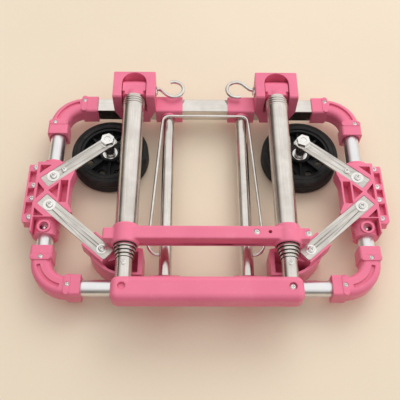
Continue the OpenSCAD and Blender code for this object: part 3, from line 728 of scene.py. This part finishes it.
def model_grip(upper):
    """One shell of the grip: a bar with round ends and round long edges"""
    low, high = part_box("grip_upper" if upper else "grip_lower")
    screws_low, screws_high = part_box("grip_screws")
    screw_y = (screws_low.y + screws_high.y) / 2
    outer, out = (high.z, 1) if upper else (low.z, -1)
    grip = block("grip_upper_shell" if upper else "grip_lower_shell", low, high)
    bevel_edges(grip, GRIP_END, 12, lambda a, b: abs(a.z - b.z) > 5 * MM)
    bevel_edges(grip, GRIP_ROUND, 10, lambda a, b: abs(a.z - outer) + abs(b.z - outer) < 0.1 * MM)
    for sign in (-1, 1):
        x = sign * mast_x
        cut(grip, rod("socket", stage_radius(STAGES) + 0.1 * MM, (x, high.y + 5 * MM, mast_z),
                      (x, high.y - SOCKET_DEPTH, mast_z)))
        cut(grip, rod("hole", SCREW_WELL, (x, screw_y, outer - out * 3.5 * MM),
                      (x, screw_y, outer + out * 5 * MM), 48))
    ease_edges(grip, 0.35, degrees=50)
    smooth(grip, 40)
    flatten_shading(grip)
    hand_over(grip, "pink_plastic", PINK, "grip_upper" if upper else "grip_lower")


model_grip(True)
model_grip(False)


# ---------- brace ----------

BAR_FRONT = 9.2 * MM      # how far the bar runs to the front and rear of the collars' middle
BAR_REAR = 8.2 * MM
BAR_TOP = 14 * MM         # above and below the masts' axis, where the two shells meet
BAR_BOTTOM = 4 * MM
LUG_TOP = 9.5 * MM
LUG_BOTTOM = 3.5 * MM
LUG_REACH = 27 * MM       # outwards from the mast's axis
LUG_HALF = 7.5 * MM
# each hole's x, the height of its floor above the masts' axis, and its radius
BRACE_HOLES = [(mast_x - 38 * MM, 12.4 * MM, 3.7 * MM), (mast_x + 24 * MM, 8 * MM, 3.7 * MM),
               (mast_x - 22 * MM, 5 * MM, 2.2 * MM)]


def model_brace(upper):
    """One shell of the brace: collars that run into the bar in soft shoulders"""
    low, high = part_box("brace_lower")[0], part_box("brace_upper")[1]
    collar = high.z - mast_z
    middle_y = (low.y + high.y) / 2
    parts = [block("bar", (-mast_x, middle_y - BAR_FRONT, mast_z - BAR_BOTTOM),
                   (mast_x, middle_y + BAR_REAR, mast_z + BAR_TOP))]
    for sign in (-1, 1):
        x = sign * mast_x
        parts.append(rod("collar", collar, (x, low.y, mast_z), (x, high.y, mast_z), 96))
        end = sign * (mast_x + LUG_REACH)
        parts.append(block("lug", (min(end, x), middle_y - LUG_HALF, mast_z - LUG_BOTTOM),
                           (max(end, x), middle_y + LUG_HALF, mast_z + LUG_TOP)))
    brace = join(parts, "brace_upper_shell" if upper else "brace_lower_shell")
    apply_modifier(brace, "REMESH", mode="VOXEL", voxel_size=1.0 * MM)
    apply_modifier(brace, "SMOOTH", factor=0.6, iterations=14)
    for sign in (-1, 1):
        x = sign * mast_x
        cut(brace, rod("bore", mast_radius + 0.1 * MM, (x, low.y - 5 * MM, mast_z),
                       (x, high.y + 5 * MM, mast_z), 96))
    for x, floor_height, radius in BRACE_HOLES:
        cut(brace, rod("hole", radius, (x, middle_y, mast_z + floor_height),
                       (x, middle_y, mast_z + 30 * MM), 40))
    keep_half(brace, mast_z, upper)
    smooth(brace, 42)
    hand_over(brace, "pink_plastic", PINK, "brace_upper" if upper else "brace_lower")


model_brace(True)
model_brace(False)


# ---------- wheels ----------

SIDEWALL = 12 * MM        # from the tread down to the rim
GROOVE_PITCH = 5.4 * MM
GROOVE_DEPTH = 1.2 * MM
GROOVE_TOP = 0.9 * MM     # half widths of a groove
GROOVE_FLOOR = 0.5 * MM


def turn_tyre(side):
    """Tyre with a groove round each side and three grooves round its tread"""
    low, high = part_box(f"tyre_{side}")
    centre = (low + high) / 2
    outer = (high.x - low.x) / 2
    half = (high.z - low.z) / 2
    inner = outer - SIDEWALL
    flank = [(-half + 1 * MM, inner), (-half, inner + 2 * MM),
             (-half, outer - 8.2 * MM), (-half + 0.7 * MM, outer - 7.8 * MM),
             (-half + 0.7 * MM, outer - 6.8 * MM), (-half, outer - 6.4 * MM),
             (-half + 0.3 * MM, outer - 4.4 * MM), (-half + 1.6 * MM, outer - 2.2 * MM),
             (-half + 3.6 * MM, outer - 0.7 * MM), (-half + 5.8 * MM, outer)]
    section = list(flank)
    for groove in (-1, 0, 1):
        at = groove * GROOVE_PITCH
        section += [(at - GROOVE_TOP, outer), (at - GROOVE_FLOOR, outer - GROOVE_DEPTH),
                    (at + GROOVE_FLOOR, outer - GROOVE_DEPTH), (at + GROOVE_TOP, outer)]
    section += [(-along, radius) for along, radius in reversed(flank)]
    tyre = turn_profile(f"tyre_{side}_turned", section, centre, "Z", 128)
    smooth(tyre, 30)
    hand_over(tyre, "tyre_rubber", RUBBER, f"tyre_{side}")


# ---------- eyes that the hooks turn in ----------

joint_of = {joint["name"]: joint for joint in frame["record"]["behaviour"]["joints"]}
EYE_WIRE = 0.8 * MM
EYE_RADIUS = 3.6 * MM
EYE_STEPS = 12
EYE_STRETCH = 1.9         # height of the oval eye, as a multiple of its width
EYE_OUT = 1.2 * MM        # place from the hook's pin
EYE_DOWN = 3.2 * MM
for side, sign in SIDES.items():
    pin = Vector(joint_of[f"hook_{side}_swivel"]["pos_m"])
    turns = [2 * math.pi * step / EYE_STEPS for step in range(EYE_STEPS)]
    section = [(EYE_WIRE * math.cos(turn), EYE_RADIUS + EYE_WIRE * math.sin(turn))
               for turn in turns]
    centre = pin + Vector((sign * EYE_OUT, 0, -EYE_DOWN))
    eye = turn_profile(f"hook_eye_{side}", section, centre, "X", 48)
    edit_all(eye)
    bpy.ops.transform.resize(value=(1, 1, EYE_STRETCH), center_override=centre)
    leave_edit()
    smooth(eye, 60)
    eye.data.materials.append(SCREW)
    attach(eye, body_of[f"hinge_housing_{side}"])


# ---------- legs, wheels, buttons and wire ----------

ARM_ANGLES = {"rear_arm": 39.4, "front_arm": -41.1}    # degrees from X, on the left side

for side, sign in SIDES.items():
    ease_node(f"bracket_upper_{side}", 0.45, "pink_plastic", PINK)
    ease_node(f"bracket_lower_{side}", 0.5, "pink_plastic", PINK)
    ease_node(f"bracket_screws_{side}", 0.2, "screw_steel", SCREW)
    for arm, angle in ARM_ANGLES.items():
        lean = math.radians(90 - abs(angle)) * math.copysign(1, angle) * -sign
        ease_node(f"{arm}_{side}", 0.45, "zinc_steel", brushed_strap(f"brushed {arm} {side}", lean))
    ease_node(f"arm_screws_{side}", 0.2, "screw_steel", SCREW)
    ease_node(f"foot_{side}", 0.6, "pink_plastic", PINK)
    ease_node(f"axle_{side}", 0.35, "screw_steel", SCREW)
    turn_tyre(side)
    ease_node(f"rim_{side}", 0.4, "black_plastic", BLACK)
    ease_node(f"bearings_{side}", 0.2, "screw_steel", SCREW)
    ease_node(f"lock_button_{side}", 0.15, "satin_aluminium", ALUMINIUM)
    ease_node(f"button_spring_{side}", 0, "bright_wire", WIRE)
    ease_node(f"hook_{side}", 0, "bright_wire", WIRE)
ease_node("bail", 0, "bright_wire", WIRE)

place_camera()
lay_floor()
light_room()
